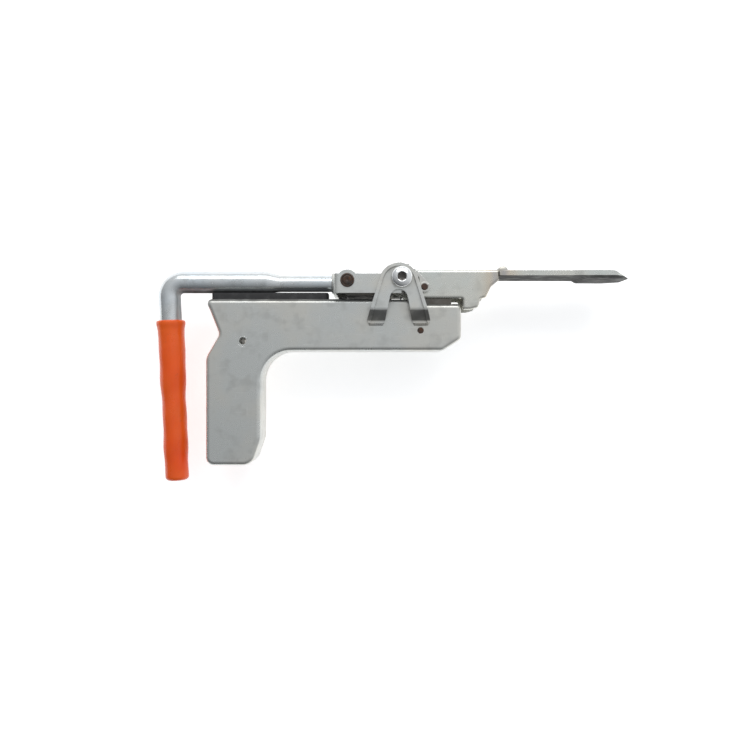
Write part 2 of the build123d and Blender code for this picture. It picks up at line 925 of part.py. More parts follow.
for side, hand in sides.items():
    with BuildPart() as yoke_bush:
        with BuildSketch(layer(cheek_inner, cheek_thickness, hand)):
            Circle(bush_radius)
            Circle(journal_radius + run_clearance, mode=Mode.SUBTRACT)
        extrude(amount=cheek_thickness)
    keep(f"yoke_bush_{side}", yoke_bush)

# Round bar: a thinner neck at the yoke, a taper, then a bend down into the leg
leg_angle = math.radians(leg_lean)
leg_plane = Plane(
    origin=(bend_x, 0, 0), x_dir=(math.cos(leg_angle), math.sin(leg_angle), 0), z_dir=(0, 0, 1)
)
leg_length = -leg_end / math.cos(leg_angle)
core_length = leg_length - sleeve_cap
core_end = leg_plane.from_local_coords((0, -core_length, 0))
elbow_x = bend_x + bar_drop * math.tan(leg_angle)

with BuildPart() as lever_bar:
    with BuildLine():
        FilletPolyline(
            (neck_start - neck_taper, -bar_drop, 0),
            (elbow_x, -bar_drop, 0),
            (core_end.X, core_end.Y, 0),
            radius=bar_bend,
        )
    with BuildSketch(Plane.YZ.offset(neck_start - neck_taper)):
        with Locations((-bar_drop, 0)):
            Circle(bar_radius)
    sweep()
    with BuildSketch(Plane.YZ.offset(neck_start - neck_taper)):
        with Locations((-bar_drop, 0)):
            Circle(bar_radius)
    with BuildSketch(Plane.YZ.offset(neck_start)):
        with Locations((-neck_drop, 0)):
            Circle(neck_radius)
    loft()
    with BuildSketch(Plane.YZ.offset(neck_start)):
        with Locations((-neck_drop, 0)):
            Circle(neck_radius)
    extrude(amount=yoke_web_x - neck_start)
keep("lever_bar", lever_bar)

# The weld round the end of the neck
with BuildPart() as yoke_weld:
    with BuildSketch(Plane.XY):
        with BuildLine():
            Polyline(
                (yoke_web_x, neck_radius - neck_drop),
                (yoke_web_x, neck_radius - neck_drop + weld_leg * 0.6),
                (yoke_web_x - weld_leg, neck_radius - neck_drop),
                close=True,
            )
        make_face()
    revolve(axis=Axis((0, -neck_drop, 0), (1, 0, 0)))
keep("yoke_weld", yoke_weld)

# The vinyl sleeve, with a rolled collar at its mouth and a closed round end
sleeve_radius = bar_radius + sleeve_wall
with BuildPart() as lever_grip:
    with BuildSketch(leg_plane):
        with BuildLine():
            mouth = sleeve_top / math.cos(leg_angle)
            collar = sleeve_radius + collar_extra
            Polyline(
                (bar_radius, mouth),
                (collar - 1, mouth),
                (collar, mouth - 1),
                (collar, mouth - collar_length),
                (sleeve_radius, mouth - collar_length - 3),
                (sleeve_radius - 0.4, -leg_length + 6),
            )
            ThreePointArc(
                (sleeve_radius - 0.4, -leg_length + 6),
                (sleeve_radius - 2.2, -leg_length + 1.75),
                (sleeve_radius - 6.4, -leg_length),
            )
            Polyline(
                (sleeve_radius - 6.4, -leg_length),
                (0, -leg_length),
                (0, -core_length),
                (bar_radius, -core_length),
                (bar_radius, mouth),
            )
        make_face()
    revolve(axis=Axis(leg_plane.origin, leg_plane.y_dir))
keep("lever_grip", lever_grip)

os.makedirs("parts", exist_ok=True)
for name, piece in pieces.items():
    export_step(piece.part, f"parts/{name}.step")
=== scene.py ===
import json
import math

import bmesh
import bpy
from mathutils import Matrix, Vector


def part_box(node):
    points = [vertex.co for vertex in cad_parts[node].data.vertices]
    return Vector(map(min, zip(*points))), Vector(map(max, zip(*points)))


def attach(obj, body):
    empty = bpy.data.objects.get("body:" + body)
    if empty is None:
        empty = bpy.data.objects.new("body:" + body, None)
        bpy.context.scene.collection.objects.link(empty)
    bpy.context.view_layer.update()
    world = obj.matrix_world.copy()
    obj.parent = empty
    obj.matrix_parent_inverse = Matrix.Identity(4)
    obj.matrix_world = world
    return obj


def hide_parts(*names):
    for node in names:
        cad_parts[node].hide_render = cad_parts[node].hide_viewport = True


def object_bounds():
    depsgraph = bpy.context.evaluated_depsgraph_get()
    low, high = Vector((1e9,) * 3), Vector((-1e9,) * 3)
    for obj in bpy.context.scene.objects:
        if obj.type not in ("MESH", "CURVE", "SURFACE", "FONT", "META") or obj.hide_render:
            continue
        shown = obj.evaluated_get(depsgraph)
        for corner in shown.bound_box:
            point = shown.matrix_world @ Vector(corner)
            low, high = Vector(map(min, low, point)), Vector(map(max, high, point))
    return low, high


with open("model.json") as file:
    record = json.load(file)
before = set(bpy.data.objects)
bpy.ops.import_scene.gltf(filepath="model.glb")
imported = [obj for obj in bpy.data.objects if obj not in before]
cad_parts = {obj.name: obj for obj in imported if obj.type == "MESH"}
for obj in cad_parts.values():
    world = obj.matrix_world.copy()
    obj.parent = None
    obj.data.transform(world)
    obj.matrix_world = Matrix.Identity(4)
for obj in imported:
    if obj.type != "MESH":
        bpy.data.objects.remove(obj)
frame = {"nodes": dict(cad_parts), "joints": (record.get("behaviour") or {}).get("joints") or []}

cad_low, cad_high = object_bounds()


# ---------------------------------------------------------------- pressed frame
# Two pressed steel halves make the pistol frame, with a tube through its hanging hole. They are
# zinc plated after welding: satin grey, faintly clouded and rubbed bright along the edges, with
# painted shade greying the inside corners.


class Signal:
    """What a shader node gives out, with sums and products written as Python expressions."""

    def __init__(self, finish, socket):
        self.finish = finish
        self.socket = socket

    def maths(self, operation, first, second):
        return self.finish.node("ShaderNodeMath", {"operation": operation}, {0: first, 1: second})

    def __add__(self, other):
        return self.maths("ADD", self, other)

    def __sub__(self, other):
        return self.maths("SUBTRACT", self, other)

    def __rsub__(self, other):
        return self.maths("SUBTRACT", other, self)

    def __mul__(self, other):
        return self.maths("MULTIPLY", self, other)

    def __truediv__(self, other):
        return self.maths("DIVIDE", self, other)

    def root(self):
        return self.maths("SQRT", self, 0.0)

    def __abs__(self):
        return self.maths("ABSOLUTE", self, 0.0)

    __radd__ = __add__
    __rmul__ = __mul__


class Finish:
    """A procedural surface finish: one Principled shader and the nodes that vary it."""

    def __init__(self, name, **constants):
        self.material = bpy.data.materials.new(name)
        self.material.use_nodes = True
        self.tree = self.material.node_tree
        self.shader = self.tree.nodes["Principled BSDF"]
        for socket, value in constants.items():
            self.shader.inputs[socket.replace("_", " ")].default_value = value
        self.place = self.node("ShaderNodeTexCoord", output="Object")

    def node(self, kind, settings=None, inputs=None, output=0):
        """Any node: its settings first, then a value or a signal for each socket named."""
        made = self.tree.nodes.new(kind)
        for name, value in (settings or {}).items():
            if name == "stops":
                ramp = made.color_ramp
                for stop, (at, colour) in enumerate(value):
                    held = ramp.elements[stop] if stop < 2 else ramp.elements.new(at)
                    held.position, held.color = at, (*colour, 1.0)
            else:
                setattr(made, name, value)
        for socket, value in (inputs or {}).items():
            self.feed(made.inputs[socket], value)
        return Signal(self, made.outputs[output])

    def feed(self, socket, value):
        if isinstance(value, Signal):
            self.tree.links.new(value.socket, socket)
        else:
            socket.default_value = value

    def give(self, **signals):
        """Links signals to the shader's own sockets, such as Base_Color."""
        for socket, value in signals.items():
            self.feed(self.shader.inputs[socket.replace("_", " ")], value)
        return self.material

    def cloud(self, scale, detail=3.0, roughness=0.5, stretch=(1, 1, 1), shift=(0, 0, 0)):
        """Smooth noise from 0 to 1. The scale is in spots for each metre, before any stretch."""
        placed = self.node(
            "ShaderNodeMapping", inputs={"Vector": self.place, "Scale": stretch, "Location": shift}
        )
        return self.node(
            "ShaderNodeTexNoise",
            inputs={"Vector": placed, "Scale": scale, "Detail": detail, "Roughness": roughness},
        )

    def band(self, value, low, high, out_low=0.0, out_high=1.0):
        """Carries a value from one range smoothly into another, held at both ends."""
        return self.node(
            "ShaderNodeMapRange",
            {"interpolation_type": "SMOOTHSTEP"},
            {
                "Value": value,
                "From Min": low,
                "From Max": high,
                "To Min": out_low,
                "To Max": out_high,
            },
        )

    def blend(self, mask, under, over, how="MIX"):
        """Lays one colour over another by a mask."""
        return self.node(
            "ShaderNodeMix",
            {"data_type": "RGBA", "blend_type": how, "clamp_result": True},
            {"Factor": mask, 6: self.rgba(under), 7: self.rgba(over)},
            output=2,
        )

    def rgba(self, colour):
        return colour if isinstance(colour, Signal) else (*colour, 1.0)

    def axes(self):
        """The place along X, Y and Z as three signals, in metres."""
        split = self.node("ShaderNodeSeparateXYZ", inputs={"Vector": self.place})
        outputs = split.socket.node.outputs
        return [Signal(self, outputs[axis]) for axis in "XYZ"]

    def rounded(self, radius):
        """The normal with every edge eased over by this radius."""
        return self.node("ShaderNodeBevel", {"samples": 6}, {"Radius": radius}, output="Normal")

    def edges(self, radius):
        """Near 1 on the edges and corners, 0 on open faces."""
        flat = self.node("ShaderNodeNewGeometry", output="Normal")
        turn = self.node(
            "ShaderNodeVectorMath",
            {"operation": "DOT_PRODUCT"},
            {0: self.rounded(radius), 1: flat},
            output="Value",
        )
        return self.band(turn, 0.995, 0.80)

    def hollows(self, distance):
        """Near 1 in inside corners of the same piece, 0 on open faces."""
        light = self.node(
            "ShaderNodeAmbientOcclusion",
            {"samples": 6, "only_local": True},
            {"Distance": distance},
            output="AO",
        )
        return self.band(light, 0.75, 0.25)

    def relief(self, height, depth, normal=None):
        """Bump from a height signal of 0 to 1 that stands this many metres deep."""
        inputs = {"Height": height, "Distance": depth, "Strength": 1.0}
        if normal:
            inputs["Normal"] = normal
        return self.node("ShaderNodeBump", inputs=inputs, output="Normal")


def dress(names, material):
    """Gives CAD nodes a finish."""
    for name in names:
        for held in frame["nodes"][name].material_slots:
            held.link = "OBJECT"
            held.material = material


def weld_heat(finish, colour, weld_x, reach):
    """The faint straw and violet bands that heat leaves on both sides of a weld."""
    wobble = finish.cloud(60, 3, 0.6, shift=(0.7, 0.2, 0.9))
    away = abs(finish.axes()[0] - weld_x) + 0.012 * (wobble - 0.5)
    bands = finish.node(
        "ShaderNodeValToRGB",
        {
            "stops": [
                (0.0, (0.74, 0.70, 0.67)),
                (1.0, (1.0, 1.0, 1.0)),
                (0.25, (0.80, 0.77, 0.80)),
                (0.45, (0.97, 0.88, 0.80)),
                (0.75, (1.0, 0.98, 0.95)),
            ]
        },
        {"Fac": away / reach},
        output="Color",
    )
    return finish.blend(1.0, colour, bands, "MULTIPLY")


def zinc_plate(
    name,
    tone,
    warm,
    cool,
    roughness=0.36,
    grain=(1, 1, 1),
    hollow_shade_strength=0.5,
    ease=0.0005,
    weld=None,
    painted_shade=None,
):
    """Zinc plate over sheet steel: clouded tints, fine drawn lines, dents and wear, with painted
    shade.
    """
    finish = Finish(name, Metallic=1.0)
    wide = finish.cloud(22, 4, 0.55)
    patch = finish.cloud(85, 3, 0.5, shift=(0.3, 0.1, 0.2))
    speck = finish.cloud(900, 2, 0.6)
    lines = finish.cloud(650, 2, 0.6, stretch=grain)
    scratches = finish.cloud(260, 1, 0.3, stretch=(0.25, 5.5, 2.0), shift=(0.4, 0.2, 0.0))
    crossing = finish.cloud(240, 1, 0.3, stretch=(5.0, 0.3, 2.0), shift=(0.1, 0.5, 0.3))
    scored = finish.band(scratches, 0.70, 0.74) + finish.band(crossing, 0.71, 0.75)
    worn = finish.edges(ease * 1.6)
    # Painted shade: an ambient-occlusion mask, broken up by noise, greys the inside corners.
    hollow_shade = finish.hollows(0.007) * finish.band(patch, 0.25, 0.7, 0.45, 1.0)

    tint = finish.blend(finish.band(wide, 0.36, 0.66), cool, warm)
    colour = finish.blend(0.62, tone, tint, "MULTIPLY")
    colour = finish.blend(finish.band(patch, 0.5, 0.75) * 0.30, colour, (0.34, 0.34, 0.32))
    colour = finish.blend(finish.band(speck, 0.62, 0.75) * 0.18, colour, (0.22, 0.21, 0.19))
    colour = finish.blend(scored * 0.25, colour, (0.86, 0.87, 0.86))
    colour = finish.blend(worn * 0.55, colour, (0.84, 0.85, 0.84))
    colour = finish.blend(hollow_shade * hollow_shade_strength, colour, (0.10, 0.095, 0.085))
    if weld:
        colour = weld_heat(finish, colour, *weld)

    dull = roughness + 0.10 * (wide - 0.5) + 0.14 * (patch - 0.5) + 0.10 * (speck - 0.5)
    dull = dull + 0.25 * hollow_shade - 0.07 * worn
    # Painted shade: where the given mask holds, the colour goes near black and the metal stops
    # reflecting.
    if painted_shade:
        painted_shade_amount = painted_shade(finish) * finish.band(patch, 0.2, 0.6, 0.75, 1.0)
        colour = finish.blend(painted_shade_amount, colour, (0.055, 0.055, 0.052))
        dull = dull + 0.45 * painted_shade_amount
        finish.give(Metallic=1.0 - 0.9 * painted_shade_amount)
    height = 0.5 * lines + 0.35 * speck + 0.9 * wide - 0.25 * scored
    return finish.give(
        Base_Color=colour,
        Roughness=finish.band(dull, 0.12, 0.85, 0.12, 0.85),
        Normal=finish.relief(height, 0.00007, finish.rounded(ease)),
    )


shell_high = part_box("frame_shell_right")[1]


def painted_shade_top_edge(finish):
    """Painted shade along the rounded upper edges of the frame, under the lever."""
    along, up, across = finish.axes()
    edge = finish.band(along, 0.007, 0.013, shell_high.y, shell_high.y - 0.0043)
    outside = finish.band(abs(across), 0.0105, 0.0150, 0.25, 0.9)
    return finish.band(up - edge, -0.0030, -0.0012) * outside


frame_zinc = zinc_plate(
    "frame_zinc",
    tone=(0.655, 0.66, 0.635),
    warm=(1.0, 0.97, 0.91),
    cool=(0.91, 0.94, 0.95),
    grain=(0.3, 3.0, 3.0),
    # Painted shade along the frame's top edges, under the lever.
    painted_shade=painted_shade_top_edge,
)
dress(["frame_shell_right", "frame_shell_left", "hang_sleeve"], frame_zinc)


# ---------------------------------------------------------------- side brackets
# Thick pressed brackets with a turned-up lip carry the windlass. They are plated like the frame,
# with a little more tint from the press shop.

bracket_tones = {
    "tone": (0.70, 0.705, 0.675),
    "warm": (1.0, 0.94, 0.86),
    "cool": (0.90, 0.93, 0.95),
    "roughness": 0.36,
    "grain": (2.0, 0.5, 2.0),
    "ease": 0.0006,
}
bracket_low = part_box("bracket_right")[0]


def painted_shade_foot_ramps(finish):
    """Painted shade on the down-facing bends of the four feet, where the plating is also duller."""
    up = finish.axes()[1]
    above = finish.band(up, bracket_low.y + 0.0122, bracket_low.y + 0.0105)
    return above * finish.band(up, bracket_low.y + 0.0015, bracket_low.y + 0.0030) * 0.85


# Painted shade on the down-facing bends of the bracket feet.
bracket_zinc = zinc_plate("bracket_zinc", painted_shade=painted_shade_foot_ramps, **bracket_tones)
small_zinc = zinc_plate("small_zinc", **bracket_tones)
dress(["bracket_right", "bracket_left"], bracket_zinc)


# ---------------------------------------------------------------- nose channel and blade
# The nose is folded sheet, and the long blade is flat bar welded to its end. The weld's heat
# has left straw and faint blue tints in the plating.


blade_low, blade_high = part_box("nose_blade")
nose_tones = {
    "tone": (0.70, 0.715, 0.685),
    "warm": (1.0, 0.955, 0.88),
    "cool": (0.93, 0.96, 0.94),
    "roughness": 0.33,
    "grain": (0.25, 2.5, 2.5),
    "weld": (blade_low.x, 0.022),
}
dress(["nose_channel"], zinc_plate("nose_zinc", **nose_tones))


def painted_shade_under_blade(finish):
    """Painted shade: the underside of the blade, turned near black."""
    return finish.band(finish.axes()[1], blade_high.y - 0.0044, blade_high.y - 0.0049)


# Painted shade under the blade.
dress(["nose_blade"], zinc_plate("blade_zinc", painted_shade=painted_shade_under_blade, **nose_tones))


# ---------------------------------------------------------------- welds
# Small fillet welds hold the bracket feet, the blade and the end of the lever bar. They are
# ripples of melted steel laid one over the next, plated with the rest and a little rougher.


def plain_mesh(name, form, material, body, slot, *nodes, smooth=60):
    """Turns a finished bmesh into a piece of the tool that stands for CAD nodes."""
    bmesh.ops.remove_doubles(form, verts=form.verts, dist=1e-6)
    bmesh.ops.recalc_face_normals(form, faces=form.faces)
    mesh = bpy.data.meshes.new(name)
    form.to_mesh(mesh)
    form.free()
    piece = bpy.data.objects.new(name, mesh)
    bpy.context.scene.collection.objects.link(piece)
    mesh.materials.append(material)
    mesh.shade_smooth()
    mesh.set_sharp_from_angle(angle=math.radians(smooth))
    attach(piece, body)
    if nodes:
        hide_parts(*nodes)
    return piece


weld_zinc = zinc_plate(
    "weld_zinc",
    tone=(0.56, 0.56, 0.54),
    warm=(1.0, 0.93, 0.82),
    cool=(0.88, 0.92, 0.98),
    roughness=0.42,
    # Deeper painted shade in the hollows between the ripples.
    hollow_shade_strength=0.75,
    ease=0.0002,
)
ripple_pitch = 0.0016
bead_end = 0.35


def straight_bead(form, start, end, radius, flatten=(1, 1, 1)):
    """A bead from start to end: a round section drawn along it, swelling at each ripple."""
    run = Vector(end) - Vector(start)
    steps = 4 * max(2, round(run.length / ripple_pitch))
    turn = run.to_track_quat("Z", "Y").to_matrix().to_4x4()
    ring = bmesh.ops.create_circle(form, segments=14, radius=radius, cap_ends=True)
    verts = ring["verts"]
    bmesh.ops.transform(form, matrix=Matrix.Translation(start) @ turn, verts=verts)
    to_start = Matrix.Translation(-Vector(start))
    bmesh.ops.scale(form, vec=(bead_end,) * 3, space=to_start, verts=verts)
    loop = list({edge for vert in verts for edge in vert.link_edges})
    size = bead_end
    for step in range(1, steps + 1):
        made = bmesh.ops.extrude_edge_only(form, edges=loop)["geom"]
        verts = [part for part in made if isinstance(part, bmesh.types.BMVert)]
        loop = [part for part in made if isinstance(part, bmesh.types.BMEdge)]
        bmesh.ops.translate(form, vec=run / steps, verts=verts)
        middle = Vector(start) + run * step / steps
        rounding = min(1.0, 0.45 + 0.25 * min(step, steps - step))
        wanted = rounding * (0.92 + 0.16 * ((step % 4) / 3))
        bmesh.ops.scale(
            form,
            vec=(wanted / size,) * 3,
            space=Matrix.Translation(-middle),
            verts=verts,
        )
        size = wanted
    bmesh.ops.contextual_create(form, geom=loop)
    bmesh.ops.scale(form, vec=flatten, space=to_start, verts=form.verts)


welds_low, welds_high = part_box("bracket_welds")
foot_length = 0.0135
foot_radius = 0.0017
bead_sunk = 0.0004
bead_proud = 0.0002
foot_welds = bmesh.new()
for side in (1, -1):
    for first in (welds_low.x, welds_high.x - foot_length):
        bead = bmesh.new()
        bead_y = welds_high.y - bead_sunk
        bead_z = side * (shell_high.z + bead_proud)
        straight_bead(
            bead, (first, bead_y, bead_z), (first + foot_length, bead_y, bead_z), foot_radius
        )
        scratch = bpy.data.meshes.new("bead")
        bead.to_mesh(scratch)
        foot_welds.from_mesh(scratch)
        bead.free()
        bpy.data.meshes.remove(scratch)
plain_mesh("bracket_weld_beads", foot_welds, weld_zinc, "frame", "weld", "bracket_welds")

bead_low, bead_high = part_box("nose_weld")
nose_bead = bmesh.new()
bead_middle = (bead_low + bead_high) / 2
bead_radius = (bead_high.x - bead_low.x) / 2
bead_rise = 1.06 * (bead_high.y - blade_high.y) / bead_radius
straight_bead(
    nose_bead,
    (bead_middle.x, blade_high.y, bead_low.z),
    (bead_middle.x, blade_high.y, bead_high.z),
    bead_radius / 1.08,
    flatten=(1, bead_rise, 1),
)
plain_mesh("nose_weld_bead", nose_bead, weld_zinc, "frame", "weld", "nose_weld")


# ---------------------------------------------------------------- windlass and its wheels
# The slotted drum is turned from bar, and a hardened ratchet wheel is keyed on each end. They
# are oiled dark steel, bright only where the pawls and the strap rub. So are the two plates
# inside the frame that tie the nose to it.


def oiled_steel(name, tone, roughness=0.38, ease=0.0003):
    """Hardened steel, dark from the quench, with a film of oil and rubbed edges."""
    finish = Finish(name, Metallic=1.0)
    wide = finish.cloud(60, 4, 0.6)
    speck = finish.cloud(700, 3, 0.6)
    worn = finish.edges(ease * 2)
    oily = finish.band(finish.cloud(35, 3, 0.5, shift=(0.2, 0.6, 0.1)), 0.45, 0.65)
    colour = finish.blend(finish.band(wide, 0.3, 0.7), tone, tuple(0.6 * part for part in tone))
    colour = finish.blend(oily * 0.35, colour, (0.10, 0.07, 0.045))
    colour = finish.blend(worn * 0.75, colour, (0.55, 0.55, 0.53))
    dull = roughness + 0.18 * (speck - 0.5) - 0.12 * oily - 0.08 * worn
    return finish.give(
        Base_Color=colour,
        Roughness=finish.band(dull, 0.1, 0.9, 0.1, 0.9),
        Normal=finish.relief(speck + 0.6 * wide, 0.00005, finish.rounded(ease)),
    )


wheel_names = ["windlass_shaft", "ratchet_wheel_right", "ratchet_wheel_left", "wheel_keys"]
anchor_names = ["nose_anchor_right", "nose_anchor_left"]
dress(wheel_names + anchor_names, oiled_steel("wheel_steel", (0.20, 0.195, 0.18)))


# ---------------------------------------------------------------- hub screws and washers
# A button-head screw with a hex socket closes each end of the windlass over a plain washer.
# Both are bright zinc, and painted shade darkens the socket and the hollows of the head.


def bright_zinc():
    finish = Finish("bright_zinc", Metallic=1.0)
    turned = finish.cloud(500, 2, 0.5)
    smear = finish.cloud(120, 3, 0.6)
    worn = finish.edges(0.0008)
    # Painted shade in the hollows: an ambient-occlusion mask darkens the colour.
    hollow_shade = finish.hollows(0.004)
    across, up, _ = finish.axes()
    off = (across * across + up * up).root()
    # Painted shade: near the axis, in the hex socket, the colour goes near black.
    painted_shade_socket = finish.band(off, 0.0044, 0.0036)
    smeared = finish.band(smear, 0.4, 0.7) * 0.5
    colour = finish.blend(smeared, (0.88, 0.89, 0.88), (0.70, 0.72, 0.74))
    colour = finish.blend(painted_shade_socket * 0.93, colour, (0.05, 0.042, 0.035))
    colour = finish.blend(worn * 0.4, colour, (0.95, 0.95, 0.94))
    colour = finish.blend(hollow_shade * 0.9, colour, (0.06, 0.05, 0.04))
    dull = 0.24 + 0.10 * (smear - 0.5) + 0.08 * (turned - 0.5) + 0.4 * hollow_shade
    return finish.give(
        Base_Color=colour,
        Roughness=finish.band(dull, 0.08, 0.8, 0.08, 0.8),
        Normal=finish.relief(turned, 0.00003, finish.rounded(0.0003)),
    )


screw_zinc = bright_zinc()
dress(["hub_washer_right", "hub_washer_left"], screw_zinc)
centre_hole = 0.00002


def ring_spin(form, profile, centre, axis, segments=72):
    """Turns a profile of (radius, height) points about an axis, as on a lathe."""
    axis = Vector(axis).normalized()
    side = axis.orthogonal().normalized()
    verts = [form.verts.new(Vector(centre) + side * r + axis * h) for r, h in profile]
    edges = [form.edges.new(pair) for pair in zip(verts, verts[1:])]
    bmesh.ops.spin(
        form,
        geom=verts + edges,
        cent=centre,
        axis=axis,
        angle=math.tau,
        steps=segments,
        use_merge=True,
    )


def button_screw(name, node, side):
    """Dome on a short rim, an eased hex socket with a drilled bottom, and the shank."""
    low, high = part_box(node)
    radius = (high.x - low.x) / 2
    head = 0.0056
    rim_height = 0.0014
    shank_length = 0.0098
    dome_lean = math.radians(64)
    crown = high.z if side > 0 else -low.z
    seat = crown - head
    shank = 0.003
    socket = 0.0035
    corner = 0.0041
    form = bmesh.new()
    dome = [(centre_hole, seat - shank_length), (shank, seat - shank_length), (shank, seat)]
    dome += [(radius - 0.0004, seat), (radius, seat + 0.0004), (radius, seat + rim_height)]
    for step in range(1, 13):
        part = step / 12
        lean = part * dome_lean
        across = radius * math.cos(lean)
        if across < corner + 0.0006:
            break
        rise = (head - rim_height) * math.sin(lean) / math.sin(dome_lean)
        dome.append((across, seat + rim_height + rise * 0.93))
    dome.append((corner + 0.0006, crown - 0.0001))
    dome.append((corner + 0.0003, crown - 0.00015))
    ring_spin(form, dome, (0, 0, 0), (0, 0, 1), 72)
    rim = [edge for edge in form.edges if edge.is_boundary and edge.verts[0].co.z > seat]
    hexagon = bmesh.ops.create_circle(form, segments=6, radius=corner, cap_ends=False)["verts"]
    bmesh.ops.translate(form, vec=(0, 0, crown - 0.0006), verts=hexagon)
    sides = list({edge for vert in hexagon for edge in vert.link_edges})
    bmesh.ops.subdivide_edges(form, edges=sides, cuts=11)
    loop = [edge for edge in form.edges if edge.is_wire]
    bmesh.ops.bridge_loops(form, edges=rim + loop)
    made = bmesh.ops.extrude_edge_only(form, edges=loop)["geom"]
    verts = [part for part in made if isinstance(part, bmesh.types.BMVert)]
    inner = [part for part in made if isinstance(part, bmesh.types.BMEdge)]
    bmesh.ops.translate(form, vec=(0, 0, -socket), verts=verts)
    made = bmesh.ops.extrude_edge_only(form, edges=inner)["geom"]
    verts = [part for part in made if isinstance(part, bmesh.types.BMVert)]
    bmesh.ops.translate(form, vec=(0, 0, -0.0012), verts=verts)
    bmesh.ops.scale(form, vec=(0.02, 0.02, 1), verts=verts)
    inner = [part for part in made if isinstance(part, bmesh.types.BMEdge)]
    bmesh.ops.contextual_create(form, geom=inner)
    if side < 0:
        bmesh.ops.scale(form, vec=(1, 1, -1), verts=form.verts)
    return plain_mesh(name, form, screw_zinc, "windlass", "bright_screw", node, smooth=35)


button_screw("hub_screw_head_right", "hub_screw_right", 1)
button_screw("hub_screw_head_left", "hub_screw_left", -1)


# ---------------------------------------------------------------- bushes
# Sintered bronze bushes carry the windlass in the brackets and in the lever's fork. They are
# pressed in dry and run on the oil held in their pores.


def bronze():
    finish = Finish("bronze", Metallic=1.0)
    pores = finish.cloud(1800, 2, 0.6)
    wide = finish.cloud(90, 3, 0.5)
    colour = finish.blend(finish.band(wide, 0.3, 0.7), (0.62, 0.40, 0.18), (0.42, 0.26, 0.13))
    colour = finish.blend(finish.band(pores, 0.6, 0.7) * 0.6, colour, (0.10, 0.06, 0.03))
    return finish.give(
        Base_Color=colour,
        Roughness=0.38 + 0.2 * (wide - 0.5),
        Normal=finish.relief(pores, 0.00004, finish.rounded(0.0002)),
    )


dress(
    ["windlass_bush_right", "windlass_bush_left", "yoke_bush_right", "yoke_bush_left"],
    bronze(),
)


# ---------------------------------------------------------------- holding pawls
# Two pawls on one shaft hold the wheels, and a lever between the nose walls lifts them. All are
# plated, as are the clips, but the ends of the shaft have a brown oxide skin.

dress(["holding_pawl_right", "holding_pawl_left", "release_lever"], small_zinc)


def brown_oxide(name, tone):
    """Blackened pin steel going brown, with rust specks and rubbed high spots."""
    finish = Finish(name, Metallic=0.75)
    rust = finish.cloud(420, 4, 0.65)
    wide = finish.cloud(110, 3, 0.5)
    worn = finish.edges(0.0007)
    colour = finish.blend(finish.band(wide, 0.35, 0.65), tone, (0.050, 0.045, 0.042))
    colour = finish.blend(finish.band(rust, 0.52, 0.68) * 0.8, colour, (0.16, 0.062, 0.024))
    colour = finish.blend(worn * 0.5, colour, (0.36, 0.32, 0.28))
    dull = 0.46 + 0.3 * (rust - 0.5)
    return finish.give(
        Base_Color=colour,
        Roughness=finish.band(dull, 0.2, 0.9, 0.2, 0.9),
        Normal=finish.relief(rust, 0.00008, finish.rounded(0.0003)),
    )


pin_oxide = brown_oxide("pin_oxide", (0.095, 0.060, 0.045))
dress(["holding_pawl_shaft", "anchor_rivet"], pin_oxide)

pivots = {joint["name"]: Vector(joint["pos_m"]) for joint in frame["joints"]}
hold = pivots["holding_release"]
clips = bmesh.new()
clips_low, clips_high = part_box("shaft_clips")
clip_radius = (clips_high.x - clips_low.x) / 2
shaft_low, shaft_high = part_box("holding_pawl_shaft")
shaft_radius = (shaft_high.x - shaft_low.x) / 2
for side in (1, -1):
    outer = side * clips_high.z
    inner = outer - side * 0.0010
    centre = Vector((hold.x, hold.y, 0))
    section = [
        clips.verts.new(centre + Vector((radius, 0, height)))
        for radius, height in (
            (shaft_radius - 0.0002, inner),
            (clip_radius, inner),
            (clip_radius, outer),
            (shaft_radius - 0.0002, outer),
        )
    ]
    face = clips.faces.new(section)
    bmesh.ops.rotate(
        clips, cent=centre, matrix=Matrix.Rotation(math.radians(20), 3, "Z"), verts=section
    )
    bmesh.ops.spin(
        clips,
        geom=[face, *face.edges, *section],
        cent=centre,
        axis=(0, 0, 1),
        angle=math.radians(290),
        steps=40,
    )
plain_mesh(
    "shaft_retaining_clips",
    clips,
    small_zinc,
    "holding_pawls",
    "dark_pin",
    "shaft_clips",
    smooth=40,
)


# ---------------------------------------------------------------- drive pawl, its pin and clip
# The drive pawl swings between the cheeks of the fork on a headed pin. The pin's big head is
# blackened, with its rubbed end standing in the middle, and a spring clip holds its other end.

dress(["drive_pawl"], oiled_steel("pawl_steel", (0.13, 0.13, 0.12), roughness=0.55))

drive = pivots["drive_engage"]
pin_low, pin_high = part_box("drive_pawl_pin")
head_radius = (pin_high.x - pin_low.x) / 2
cheek_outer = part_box("lever_yoke")[1].z
pin_radius = 0.004
clip_low, clip_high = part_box("drive_pin_clip")

pin_form = bmesh.new()
head_top = pin_high.z
ring_spin(
    pin_form,
    [
        (centre_hole, pin_low.z),
        (pin_radius - 0.0006, pin_low.z),
        (pin_radius, pin_low.z + 0.0006),
        (pin_radius, cheek_outer),
        (head_radius - 0.0003, cheek_outer),
        (head_radius, cheek_outer + 0.0003),
        (head_radius, head_top - 0.0010),
        (head_radius - 0.0003, head_top - 0.0005),
        (head_radius - 0.0012, head_top - 0.0002),
        (pin_radius + 0.0009, head_top - 0.0002),
        (pin_radius + 0.0004, head_top - 0.0008),
        (pin_radius, head_top - 0.0008),
        (pin_radius - 0.0003, head_top - 0.0001),
        (pin_radius - 0.0010, head_top),
        (0.0009, head_top),
        (centre_hole, head_top - 0.0005),
    ],
    (drive.x, drive.y, 0),
    (0, 0, 1),
)
plain_mesh("drive_cross_pin", pin_form, pin_oxide, "lever", "dark_pin", "drive_pawl_pin", smooth=35)

